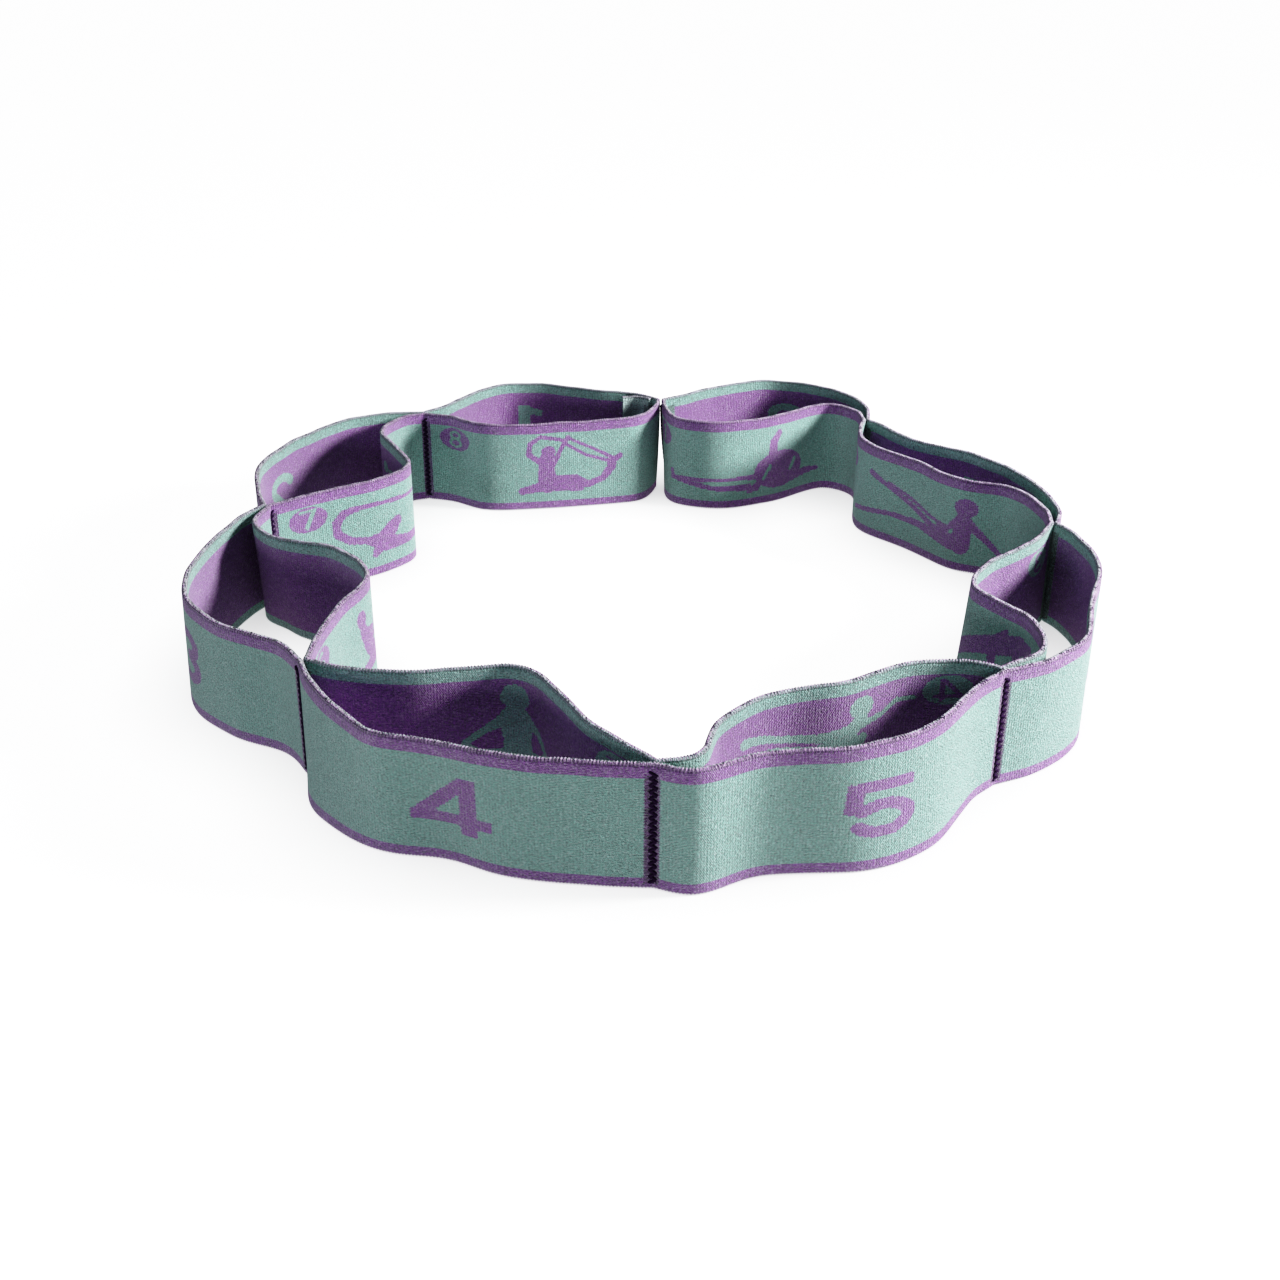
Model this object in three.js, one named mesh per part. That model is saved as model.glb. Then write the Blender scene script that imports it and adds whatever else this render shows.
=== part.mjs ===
// Stretching strap: a double layer of elastic web, sewn across into eight loops, standing on its
// long edge in a relaxed ring. Millimetres, +Z up, the floor at z = 0, origin at the ring's centre.
//
// Each loop is an outer and an inner web between two sewn stations. Every web is cut at its middle
// into an "a" half and a "b" half, so that a loop can stretch there, and the webs stop just short
// of each station, so that neighbouring loops can turn about the stitching.

import * as THREE from "three";

// ---- driving dimensions ----------------------------------------------------------------------

const WEB_WIDTH = 40; // the web's width, which is the strap's height when it stands on edge
const WEB_THICKNESS = 1.8;
const LAYER_SPACING = 2.1; // centre to centre of the two webs where they are sewn together
const SEAM_RADIUS = 2; // the column of stitches with the web that it pinches
const SEAM_INSET = 1; // the stitching stops this far short of both edges of the web
const SEAM_SIDES = 24;
const WEB_END_GAP = 0.45; // from a seam column to the end of a web
const HALF_GAP = 0.4; // between the two halves of one web
const HALF_STEPS = 14; // straight steps along each half web
const HEM_START = 3.2; // the turned-in end, measured along the outer web from the strap's first tip
const HEM_LENGTH = 13;
const HEM_OFFSET = 2.15; // centre to centre of the turned-in end and the web it lies against
const HEM_SPRING = 5; // its free end springs this much further from the web
const HEM_STEPS = 8;

const FIRST_LOOP = 1;
const LAST_LOOP = 8;

// Sewn stations in order round the ring, anticlockwise from above. The heading is the strap's
// direction there. At a tip there is one folded end in place of two layers side by side.
const STATIONS = [
  { x: 2.2, y: 147, heading: 203, isTip: true },
  { x: -99, y: 126, heading: 195 },
  { x: -144, y: 13, heading: 255 },
  { x: -105, y: -115, heading: 301 },
  { x: 1, y: -174, heading: 349 },
  { x: 106, y: -118, heading: 21 },
  { x: 149, y: 0, heading: 83 },
  { x: 95, y: 120, heading: 96 },
  { x: 8.6, y: 147, heading: 162, isTip: true },
];

// Points that each loop's two webs pass through between its stations, seen from above.
const LOOP_POINTS = {
  1: {
    outer: [[-6, 156], [-23, 161], [-50, 170], [-66, 170], [-79, 157], [-91, 136]],
    inner: [[2, 137], [-4, 124], [-19, 118], [-56, 110], [-73, 111], [-87, 121]],
  },
  2: {
    outer: [[-114, 125], [-131, 116], [-149, 86], [-156, 57], [-151, 30]],
    inner: [[-107, 121], [-114, 102], [-105, 80], [-97, 58], [-105, 44], [-128, 26]],
  },
  3: {
    outer: [[-151, -1], [-156, -42], [-151, -71], [-135, -91], [-115, -103]],
    inner: [[-145, -3], [-135, -18], [-111, -28], [-96, -50], [-101, -75], [-104, -100]],
  },
  4: {
    outer: [[-100, -129], [-80, -155], [-62, -163], [-43, -170], [-15, -174]],
    inner: [[-92, -120], [-73, -122], [-43, -118], [-34.5, -122], [-27.5, -133], [-18, -151], [-9, -162]],
  },
  5: {
    outer: [[12, -178], [30, -169], [60, -164], [79, -152], [98, -127]],
    inner: [
      [9, -171.6], [13.8, -168.4], [15.9, -162], [18.6, -152.5], [29, -139.5],
      [39, -132.8], [56, -128], [77, -115], [97, -113],
    ],
  },
  6: {
    outer: [[122, -111], [137, -95], [145, -69], [155.6, -38], [154, -10]],
    inner: [[121, -104], [122, -82], [109, -57], [117, -38], [138, -17]],
  },
  7: {
    outer: [[154, 14], [149, 50], [133, 76.5], [109.5, 96], [101, 113]],
    inner: [[149, 15], [141, 37], [122, 47], [108, 68], [91, 92], [91, 108]],
  },
  8: {
    outer: [[97, 142], [84, 166], [57, 178], [34, 169]],
    inner: [[92, 134], [80, 142], [53, 123], [30, 115], [12, 122], [8, 134]],
  },
};

const LAYER_SIDE = { outer: 1, inner: -1 };

const TEAL = 0x8fbfb0;
const DARK_PURPLE = 0x4a2463;

// ---- helpers ---------------------------------------------------------------------------------

function fabric(color) {
  return new THREE.MeshStandardMaterial({ color, roughness: 0.85, metalness: 0 });
}

function namedMesh(name, geometry, color) {
  const mesh = new THREE.Mesh(geometry, fabric(color));
  mesh.name = name;
  return mesh;
}

// Where a web's centre line meets a station: beside the seam's axis, on the layer's own side.
function stationPoint(station, layer) {
  const heading = THREE.MathUtils.degToRad(station.heading);
  const side = station.isTip ? 0 : (LAYER_SIDE[layer] * LAYER_SPACING) / 2;
  return new THREE.Vector3(
    station.x + side * Math.sin(heading),
    station.y - side * Math.cos(heading),
    0,
  );
}

function webCurve(loop, layer) {
  const middle = LOOP_POINTS[loop][layer].map(([x, y]) => new THREE.Vector3(x, y, 0));
  const points = [
    stationPoint(STATIONS[loop - 1], layer),
    ...middle,
    stationPoint(STATIONS[loop], layer),
  ];
  const curve = new THREE.CatmullRomCurve3(points, false, "centripetal");
  curve.arcLengthDivisions = 400;
  return curve;
}

// An upright strip of web that follows a curve from one arc length to another. Its offset at a
// share of its length moves it sideways: away from the ring's centre where it is positive.
function stripGeometry(curve, from, to, steps, offsetAt = () => 0) {
  const length = curve.getLength();
  const outerEdge = [];
  const innerEdge = [];
  for (let i = 0; i <= steps; i += 1) {
    const u = THREE.MathUtils.lerp(from, to, i / steps) / length;
    const offset = offsetAt(i / steps);
    const point = curve.getPointAt(u);
    const tangent = curve.getTangentAt(u);
    const normal = new THREE.Vector2(tangent.y, -tangent.x);
    const place = (side) => new THREE.Vector2(point.x, point.y).addScaledVector(normal, side);
    outerEdge.push(place(offset + WEB_THICKNESS / 2));
    innerEdge.push(place(offset - WEB_THICKNESS / 2));
  }
  const outline = new THREE.Shape([...outerEdge, ...innerEdge.reverse()]);
  return new THREE.ExtrudeGeometry(outline, { depth: WEB_WIDTH, bevelEnabled: false });
}

// ---- the strap's pieces ----------------------------------------------------------------------

function halfWebs(loop, layer) {
  const curve = webCurve(loop, layer);
  const length = curve.getLength();
  const start = SEAM_RADIUS + WEB_END_GAP;
  const middle = length / 2;
  const half = (letter, from, to) =>
    namedMesh(`${layer}_web_${loop}${letter}`, stripGeometry(curve, from, to, HALF_STEPS), TEAL);
  return [
    half("a", start, middle - HALF_GAP / 2),
    half("b", middle + HALF_GAP / 2, length - start),
  ];
}

// A column of stitches through both layers, standing on the axis about which two loops turn.
function seamColumn(name, station) {
  const height = WEB_WIDTH - 2 * SEAM_INSET;
  const geometry = new THREE.CylinderGeometry(SEAM_RADIUS, SEAM_RADIUS, height, SEAM_SIDES);
  geometry.rotateX(Math.PI / 2);
  geometry.translate(station.x, station.y, WEB_WIDTH / 2);
  return namedMesh(name, geometry, DARK_PURPLE);
}

// The cut end of the web, turned in and lying against the inside of the first loop's outer web.
function turnedInEnd() {
  const curve = webCurve(FIRST_LOOP, "outer");
  const end = HEM_START + HEM_LENGTH;
  const offsetAt = (share) => -HEM_OFFSET - HEM_SPRING * share ** 1.5;
  const geometry = stripGeometry(curve, HEM_START, end, HEM_STEPS, offsetAt);
  return namedMesh("turned_in_end", geometry, TEAL);
}

function buildStrap() {
  const strap = new THREE.Group();
  strap.name = "stretching_strap";
  for (let loop = FIRST_LOOP; loop <= LAST_LOOP; loop += 1) {
    strap.add(...halfWebs(loop, "outer"), ...halfWebs(loop, "inner"));
  }
  for (let loop = FIRST_LOOP; loop < LAST_LOOP; loop += 1) {
    strap.add(seamColumn(`division_seam_${loop}_${loop + 1}`, STATIONS[loop]));
  }
  strap.add(seamColumn("end_seam_first", STATIONS[0]));
  strap.add(seamColumn("end_seam_last", STATIONS[LAST_LOOP]));
  strap.add(turnedInEnd());
  return strap;
}

export default buildStrap();
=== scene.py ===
"""Looks of the stretching strap: jacquard elastic web with numerals and exercise figures woven in,
zigzag stitching, and a pale studio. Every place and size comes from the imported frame, in metres."""

import math

import bpy
import numpy as np
from mathutils import Matrix, Vector


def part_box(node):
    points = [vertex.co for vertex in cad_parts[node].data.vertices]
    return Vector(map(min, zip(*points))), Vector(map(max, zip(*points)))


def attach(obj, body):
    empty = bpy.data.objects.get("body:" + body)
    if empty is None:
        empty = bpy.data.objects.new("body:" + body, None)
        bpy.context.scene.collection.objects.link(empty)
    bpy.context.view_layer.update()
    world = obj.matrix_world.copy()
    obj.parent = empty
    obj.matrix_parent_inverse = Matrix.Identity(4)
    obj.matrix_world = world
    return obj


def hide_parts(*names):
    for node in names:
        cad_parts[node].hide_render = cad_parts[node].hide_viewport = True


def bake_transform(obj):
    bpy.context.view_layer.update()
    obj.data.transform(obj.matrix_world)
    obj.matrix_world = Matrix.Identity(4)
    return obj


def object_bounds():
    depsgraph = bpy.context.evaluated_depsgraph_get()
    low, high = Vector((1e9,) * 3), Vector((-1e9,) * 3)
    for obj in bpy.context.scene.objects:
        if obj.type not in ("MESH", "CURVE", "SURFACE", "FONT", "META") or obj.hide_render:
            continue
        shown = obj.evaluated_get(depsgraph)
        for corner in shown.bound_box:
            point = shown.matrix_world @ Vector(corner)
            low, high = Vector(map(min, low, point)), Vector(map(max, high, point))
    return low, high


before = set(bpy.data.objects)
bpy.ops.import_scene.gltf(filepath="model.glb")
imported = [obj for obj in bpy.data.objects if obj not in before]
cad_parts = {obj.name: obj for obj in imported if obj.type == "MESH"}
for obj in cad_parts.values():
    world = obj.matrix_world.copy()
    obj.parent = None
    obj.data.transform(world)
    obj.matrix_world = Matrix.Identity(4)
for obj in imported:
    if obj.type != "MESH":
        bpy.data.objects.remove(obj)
CAD_LOW, CAD_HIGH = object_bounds()

# ---- driving values, in metres unless a name says otherwise ----------------------------------

MM = 0.001
LOOPS = 8
LAYERS = ("outer", "inner")
OUTWARD = {"outer": 1, "inner": -1}  # which side of the layer's path its teal face is on

WEB_WIDTH = CAD_HIGH.z - CAD_LOW.z
WEB_THICKNESS = 1.8 * MM
LAYER_SPACING = 1.95 * MM  # centre to centre where two layers are sewn together

COLUMN_STEP = 0.5 * MM  # along the web
FACE_ROWS = 46  # from edge to edge of one face
RIM_ANGLES = (25, 55, 90, 125, 155)  # round each edge of the web, in degrees
RIM_RADIUS = 0.5 * MM
PICOT_HEIGHT = 0.22 * MM  # the edge's thread loops stand up and down by this much
EYELET_DEPTH = 0.3 * MM  # the row of small holes below each edge's thread loops
EYELET_INSET = 0.2 * MM

BEND_REACH = 8 * MM  # a seam's bending is spread this far to each side of its axis
BEND_MARGIN = 1.2 * MM
TIP_REACH = 6 * MM  # of web on each layer that belongs to the folded end's own piece
TIP_TOP_PUSH = 2.05 * MM  # each folded end leans outwards at the top
TIP_LEAN_REACH = 9 * MM
TIP_LEANS = ((0, -1, 0.6 * MM), (LOOPS, 1, -2.6 * MM))  # station, way out, push at the floor


# ---- reading the webs' centre lines from the frame -------------------------------------------


def seam_axis(node):
    """Where a seam column stands, seen from above."""
    low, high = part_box(node)
    return np.array(((low.x + high.x) / 2, (low.y + high.y) / 2))


def seam_nodes():
    """The nine sewn stations in order round the ring."""
    between = [f"division_seam_{n}_{n + 1}" for n in range(1, LOOPS)]
    return ["end_seam_first", *between, "end_seam_last"]


STATIONS = [seam_axis(node) for node in seam_nodes()]


def centre_line(node, start):
    """The middle of an upright CAD web seen from above, in order from the end nearer to start."""
    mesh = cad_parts[node].data
    corners = np.array([v.co for v in mesh.vertices])
    plan = corners[corners[:, 2] < WEB_WIDTH / 2, :2]
    plan = np.unique(plan.round(6), axis=0)
    apart = np.linalg.norm(plan[:, None] - plan[None], axis=2)
    np.fill_diagonal(apart, np.inf)
    across = apart.argmin(axis=1)
    middles = np.unique(((plan + plan[across]) / 2).round(6), axis=0)
    line, left = [np.array(start)], list(middles)
    while left:
        nearest = min(range(len(left)), key=lambda i: np.linalg.norm(left[i] - line[-1]))
        line.append(left.pop(nearest))
    return np.array(line[1:])


def loop_line(layer, loop):
    first = centre_line(f"{layer}_web_{loop}a", STATIONS[loop - 1])
    second = centre_line(f"{layer}_web_{loop}b", first[-1])
    joined = (first[-1] + second[0]) / 2
    return np.vstack([first[:-1], joined, second[1:]])


LOOP_LINES = {(layer, n): loop_line(layer, n) for layer in LAYERS for n in range(1, LOOPS + 1)}


def unit(v):
    return v / np.linalg.norm(v)


def heading(station):
    """The strap's direction at a station, from the webs' ends on either side of it."""
    before = after = STATIONS[station]
    if station > 0:
        before = (LOOP_LINES["outer", station][-1] + LOOP_LINES["inner", station][-1]) / 2
    if station < LOOPS:
        after = (LOOP_LINES["outer", station + 1][0] + LOOP_LINES["inner", station + 1][0]) / 2
    return unit(after - before)


HEADINGS = [heading(k) for k in range(LOOPS + 1)]


def station_point(layer, station):
    """Where a layer passes a station: beside a seam's axis, or round the end of the strap."""
    if station in (0, LOOPS):
        return STATIONS[station]
    along = HEADINGS[station]
    outwards = np.array((along[1], -along[0]))
    return STATIONS[station] + OUTWARD[layer] * LAYER_SPACING / 2 * outwards


def smooth_curve(p, steps=24):
    """A centripetal Catmull-Rom curve through the points."""
    p = np.vstack([2 * p[0] - p[1], p, 2 * p[-1] - p[-2]])
    t = np.concatenate([[0], np.cumsum(np.sqrt(np.linalg.norm(np.diff(p, axis=0), axis=1)))])
    slope = np.diff(p, axis=0) / np.diff(t)[:, None]
    across = (p[2:] - p[:-2]) / (t[2:] - t[:-2])[:, None]
    tangent = slope[:-1] - across + slope[1:]
    parts = []
    for i in range(1, len(p) - 2):
        u = np.linspace(0, 1, steps, endpoint=False)[:, None]
        gap = t[i + 1] - t[i]
        from_start = (2 * u**3 - 3 * u**2 + 1) * p[i] + (u**3 - 2 * u**2 + u) * gap * tangent[i - 1]
        to_end = (3 * u**2 - 2 * u**3) * p[i + 1] + (u**3 - u**2) * gap * tangent[i]
        parts.append(from_start + to_end)
    return np.vstack([*parts, p[-2:-1]])


def snapped(arc):
    return np.round(np.asarray(arc) / COLUMN_STEP) * COLUMN_STEP


class Layer:
    """One layer of web as a line seen from above. Arcs along it are 0 at the strap's first end,
    and every station lies on a whole number of column steps."""

    def __init__(self, name):
        self.name = name
        self.outward = OUTWARD[name]
        other = "inner" if name == "outer" else "outer"
        stations = [station_point(name, k) for k in range(LOOPS + 1)]
        parts = [LOOP_LINES[other, 1][2::-1]]
        for n in range(1, LOOPS + 1):
            parts += [stations[n - 1][None], LOOP_LINES[name, n]]
        parts += [stations[LOOPS][None], LOOP_LINES[other, LOOPS][:-4:-1]]
        self.points = smooth_curve(np.vstack(parts))
        steps = np.linalg.norm(np.diff(self.points, axis=0), axis=1)
        lengths = np.concatenate([[0], np.cumsum(steps)])
        nearest = [np.linalg.norm(self.points - s, axis=1).argmin() for s in stations]
        found = lengths[nearest] - lengths[nearest[0]]
        self.station_arcs = snapped(found)
        inside = np.interp(lengths - lengths[nearest[0]], found, self.station_arcs)
        before = np.minimum(lengths - lengths[nearest[0]], 0)
        after = np.maximum(lengths - lengths[nearest[-1]], 0)
        self.arcs = inside + before + after

    def at(self, arcs):
        x = np.interp(arcs, self.arcs, self.points[:, 0])
        y = np.interp(arcs, self.arcs, self.points[:, 1])
        return np.stack([x, y], axis=-1)

    def normals(self, arcs, reach=0.4 * MM):
        """Square to the line, to the right of travel, which is away from the ring's centre."""
        gap = self.at(arcs + reach) - self.at(arcs - reach)
        gap = gap / np.linalg.norm(gap, axis=-1, keepdims=True)
        return np.stack([gap[..., 1], -gap[..., 0]], axis=-1)

    def cut_arc(self, station, direction):
        """Where a seam's own piece ends: past its bending, after it (1) or before it (-1)."""
        if station in (0, LOOPS):
            return self.station_arcs[station] + direction * TIP_REACH
        arc = self.station_arcs[station]
        reach = 0
        while reach < BEND_REACH + BEND_MARGIN:
            arc += direction * COLUMN_STEP
            reach = direction * ((self.at(arc) - STATIONS[station]) @ HEADINGS[station])
        return snapped(arc)


WEBS = {name: Layer(name) for name in LAYERS}


# ---- what is woven into the web --------------------------------------------------------------

# Places on a web are in millimetres: along, to the right as seen on the teal face, and up.
# A limb is a row of (along, up, width); a disc is (along, up, half length, half height).

TOP_BAND = 4.6  # contrasting bands along the web's edges
BOTTOM_BAND = 3.3
STRIPE_WIDTH = 4.8  # of the upright stripe that each seam is sewn on
STRIPE_SHIFT = -0.35  # the stripe's middle from the seam's axis, along the strap
STRIPE_LOW, STRIPE_HIGH = 1.3, 36.6

NUMERAL_HEIGHT = 1.9  # of a tenth of a numeral's height
NUMERAL_STRETCH = 2.55  # and its width per unit of the drawing below
NUMERAL_UP = 20
NUMERAL_SHIFT = {1: 0, 2: 10, 3: 11.5, 4: 8, 5: 2.3, 6: 4, 7: 4, 8: 2}  # from a loop's middle
BADGE_FROM_SEAM = 15.5
BADGE = (8.4, 5.1)
BADGE_UP = 30
BADGE_NUMERAL = (1.0, 0.8)
BADGE_THINNING = 0.16


def arc(centre, radii, start, end, width, steps=14):
    """A curved limb round an ellipse, between two angles in degrees."""
    angles = np.radians(np.linspace(start, end, steps))
    return [(centre[0] + radii[0] * math.cos(a), centre[1] + radii[1] * math.sin(a), width) for a in angles]


def straight(start, end, width):
    return [(*start, width), (*end, width)]


# Numerals are ten units high, drawn about their own middle. Bars have square ends.
NUMERALS = {
    1: {"bars": [straight((0.8, -5), (0.8, 5), 2.3), straight((0.8, 3.9), (-2.6, 3.0), 1.7)]},
    2: {
        "limbs": [
            arc((0, 2.0), (2.9, 2.1), 165, -25, 1.9),
            [(2.6, 1.1, 1.9), (0.6, -1.3, 1.9), (-2.9, -3.7, 1.9)],
        ],
        "bars": [straight((-4, -4.1), (4, -4.1), 1.8)],
    },
    3: {
        "limbs": [
            arc((0, 2.2), (2.7, 1.9), 155, -80, 1.9),
            arc((0, -2.0), (3.0, 2.1), 80, -155, 1.9),
        ]
    },
    4: {
        "bars": [
            straight((2.1, -5), (2.1, 5), 2.2),
            straight((-4.9, -2.6), (5.0, -2.6), 1.9),
            straight((-3.9, -2.2), (1.7, 4.3), 1.9),
        ]
    },
    5: {
        "bars": [straight((-3.2, 3.5), (4.1, 3.5), 1.7), straight((-2.9, 4.3), (-3.3, -0.7), 2.0)],
        "limbs": [arc((0.3, -1.9), (3.2, 2.3), 140, -150, 1.9)],
    },
    6: {
        "limbs": [
            arc((0, -1.9), (3.0, 2.2), 0, 360, 1.9, 20),
            arc((0.4, -0.4), (3.4, 4.5), 180, 65, 1.9),
        ]
    },
    7: {"bars": [straight((-4, 4.1), (4, 4.1), 1.8), straight((2.9, 4.2), (-1.3, -5), 2.2)]},
    8: {
        "limbs": [
            arc((0, 2.3), (2.6, 1.8), 0, 360, 1.8, 20),
            arc((0, -2.1), (3.1, 2.1), 0, 360, 1.8, 20),
        ]
    },
}

# One exercise figure for each loop, measured from the middle of the loop's inner web.
FIGURES = {
    1: {  # kneeling, drawing the strap back from a raised foot
        "discs": [(-3.6, 26.8, 3.2, 2.8)],
        "limbs": [
            [(-4.2, 23, 7), (-4.6, 17, 7.5), (-4.0, 12, 9)],
            [(-7, 22, 2.6), (-12.3, 26, 2.4), (-11.6, 31, 2.0), (-7, 34, 1.8), (4, 31.5, 1.6)],
            [(-1, 21.5, 2.4), (1.5, 27, 2.2), (5, 33, 2.2)],
            [(5, 32.8, 1.4), (15, 28, 1.4), (24, 22.8, 1.6)],
            [(4, 30, 1.4), (13, 24.5, 1.4), (23, 21, 1.5)],
            [(-2, 12, 7), (8, 13, 5.5), (14, 10.5, 3.2), (21, 13, 3), (24.5, 18, 4), (25, 21, 4)],
            [(24, 20, 3), (28.5, 23, 2.6)],
            [(-4, 11, 5), (-15.5, 8.8, 3.4)],
            [(0, 11, 6), (11, 8.6, 2.2)],
        ],
    },
    2: {  # lying, a leg drawn overhead in the strap
        "limbs": [
            [(30, 26, 1.5), (8, 28.5, 1.5), (-12, 29.4, 1.5), (-34, 30, 2.2), (-41, 29, 3.2)]
            + [(-44.5, 25.5, 3.8), (-44.5, 21, 3.6), (-39, 17, 3.2), (-31, 15.5, 3)],
            [(-32, 15.5, 3), (-25, 14, 8), (-20, 18, 6.5), (-17, 20.5, 4.5)],
            [(-25, 14, 8), (-28.5, 9, 3)],
            [(-25, 12.5, 6.5), (-12, 11, 4), (6, 12, 3), (30, 10, 2.4)],
        ],
        "discs": [(31, 27, 3, 2.6)],
    },
    3: {  # kneeling upright, arms drawn back
        "discs": [(-24, 28.5, 3.4, 3.2)],
        "limbs": [
            [(-23, 24, 5), (-19, 17, 7), (-14, 12, 7)],
            [(-22, 23, 2.4), (-14, 22, 2), (-8, 26.5, 2)],
            [(-20, 20, 2.2), (-12, 19, 2)],
            [(-14, 12, 6.5), (-2, 11, 4), (14, 9, 2.8)],
            [(-16, 11, 5), (-26, 8.5, 2.8)],
            [(-8, 26.5, 1.1), (10, 19, 1.1), (18, 10, 1.1)],
        ],
    },
    4: {  # standing astride, seen from the front, pressing the strap down
        "discs": [(2.2, 29.6, 5.1, 4.2)],
        "limbs": [
            [(2.2, 25, 5), (2, 21, 12), (1.5, 15, 10), (1.5, 10, 11)],
            [(6, 21.8, 4.2), (12, 18.5, 2.8), (19, 14, 2.2)],
            [(-2, 22.2, 4.2), (-6.5, 19.5, 2.6), (-10.8, 14, 2.2)],
            [(19, 14, 1.3), (14, 11, 1.3), (6, 11, 1.3)],
            [(-10.8, 14, 1.3), (-8, 11.5, 1.3), (-3, 11, 1.3)],
            [(3, 10, 5), (17, 7, 2.4)],
            [(0, 10, 5), (-13, 7, 2.4)],
        ],
    },
    5: {  # lying back, both legs along the strap
        "discs": [(-19, 30, 4.6, 3.7)],
        "limbs": [
            [(-19, 25.5, 5), (-14, 22, 6), (-4, 22.2, 3), (8, 24, 2.4), (16, 26, 2.8), (22.5, 27, 3.6)],
            [(-16, 20, 4), (-4, 18.6, 1.8), (12, 21, 1.6)],
            [(-20, 19, 4), (-8, 14, 4.5), (8, 14, 3), (24, 12, 2.4)],
            [(-20, 24, 3), (-27, 25, 1.8), (-33, 28.5, 1.6), (-39.5, 28, 1.5)],
        ],
    },
    6: {  # on hands and feet, back arched
        "discs": [(36, 26, 3.6, 3.2)],
        "limbs": [
            [(-6, 13, 4), (1, 19, 5.5), (8, 22.5, 6), (18, 26, 7), (26, 28.5, 7), (33, 30, 3)],
            [(16, 28, 3), (19, 31, 2)],
            [(24, 26, 4), (28, 18, 3), (32, 9, 2.4)],
            [(14, 23, 4), (15, 17, 3), (13, 9, 2.4)],
            [(-6, 13, 4), (-16, 9, 3)],
        ],
    },
    7: {  # sitting back on the hands, one leg raised
        "discs": [(16.4, 28, 5.0, 3.9)],
        "limbs": [
            [(15.6, 24, 4), (15.5, 21, 8.5), (15, 16, 8), (14.5, 12, 9)],
            [(18, 21.5, 4), (25, 15.5, 2.8), (32, 9.5, 2.2)],
            [(12, 21, 3), (8, 17, 2), (3, 17.5, 1.6)],
            [(11, 13, 5), (0, 15.5, 3), (-12, 20, 2.2), (-26, 25, 2), (-36, 28.5, 2.8)],
            [(8, 18, 1.6), (-2, 19.6, 1.5), (-14, 23.4, 1.5), (-26, 26.6, 1.4)],
            [(11, 11, 5.5), (-8, 13.5, 3.2), (-26, 13, 2.2), (-47, 9.6, 2.0)],
        ],
    },
    8: {  # sitting folded over two straight legs, an arm raised
        "discs": [(10, 15, 13.5, 8.6)],
        "limbs": [
            [(6, 22, 5), (6, 28, 4), (9, 32, 3)],
            [(-41, 12.8, 1.8), (-20, 13.2, 1.6), (-2, 13.4, 2.4)],
            [(-40, 12.4, 1.8), (-22, 9.4, 2.2), (-6, 9, 3.2)],
            [(-41.2, 12.5, 2.2), (-41.6, 15.6, 2)],
            [(18, 9.5, 4), (26, 10.6, 3.4), (33.5, 10.4, 1.6)],
            [(-2, 8.5, 4), (-6, 7, 2)],
        ],
        "holes": [[(1.5, 12, 1.7), (4.5, 17, 1.9)], [(16.5, 14, 1.9), (19, 18, 2)]],
    },
}


def limb_distance(along, up, limb):
    """Distance outside a row of rounded strokes whose width changes from point to point."""
    best = np.full(along.shape, 1e3)
    for (x0, y0, w0), (x1, y1, w1) in zip(limb, limb[1:]):
        dx, dy = x1 - x0, y1 - y0
        share = ((along - x0) * dx + (up - y0) * dy) / (dx * dx + dy * dy + 1e-9)
        share = np.clip(share, 0, 1)
        away = np.hypot(along - x0 - share * dx, up - y0 - share * dy)
        best = np.minimum(best, away - (w0 + share * (w1 - w0)) / 2)
    return best


def bar_distance(along, up, bar):
    """Distance outside a straight stroke with square ends."""
    (x0, y0, width), (x1, y1, _) = bar
    length = math.hypot(x1 - x0, y1 - y0)
    dx, dy = (x1 - x0) / length, (y1 - y0) / length
    forward = (along - (x0 + x1) / 2) * dx + (up - (y0 + y1) / 2) * dy
    sideways = (up - (y0 + y1) / 2) * dx - (along - (x0 + x1) / 2) * dy
    past_end = np.abs(forward) - length / 2
    past_side = np.abs(sideways) - width / 2
    outside = np.hypot(np.maximum(past_end, 0), np.maximum(past_side, 0))
    return outside + np.minimum(np.maximum(past_end, past_side), 0)


def disc_distance(along, up, disc):
    x, y, half_length, half_height = disc
    reach = np.hypot((along - x) / half_length, (up - y) / half_height)
    return (reach - 1) * min(half_length, half_height)


def drawing_distance(along, up, drawing):
    """Distance outside everything in a drawing, below zero inside it."""
    inked = [limb_distance(along, up, limb) for limb in drawing.get("limbs", [])]
    inked += [bar_distance(along, up, bar) for bar in drawing.get("bars", [])]
    inked += [disc_distance(along, up, disc) for disc in drawing.get("discs", [])]
    distance = np.min(inked, axis=0)
    for hole in drawing.get("holes", []):
        distance = np.maximum(distance, -limb_distance(along, up, hole))
    return distance


def numeral_distance(along, up, digit, scale):
    """A numeral about its own middle, widened and raised by scale."""
    return drawing_distance(along / scale[0], up / scale[1], NUMERALS[digit]) * min(scale)


def loop_distance(web, n, s, z):
    """Distance outside the numeral, badge and figure woven into one loop of a layer."""
    first, last = web.station_arcs[n - 1] / MM, web.station_arcs[n] / MM
    along = web.outward * (s - (first + last) / 2)
    if web.name == "outer":
        scale = (NUMERAL_STRETCH, NUMERAL_HEIGHT)
        return numeral_distance(along - NUMERAL_SHIFT[n], z - NUMERAL_UP, n, scale)
    badge_along = along + (last - first) / 2 - BADGE_FROM_SEAM
    badge_up = z - BADGE_UP
    badge = disc_distance(badge_along, badge_up, (0, 0, *BADGE))
    digit = numeral_distance(badge_along, badge_up, LOOPS + 1 - n, BADGE_NUMERAL)
    badge = np.maximum(badge, -digit - BADGE_THINNING)
    return np.minimum(badge, drawing_distance(along, z, FIGURES[n]))


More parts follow.
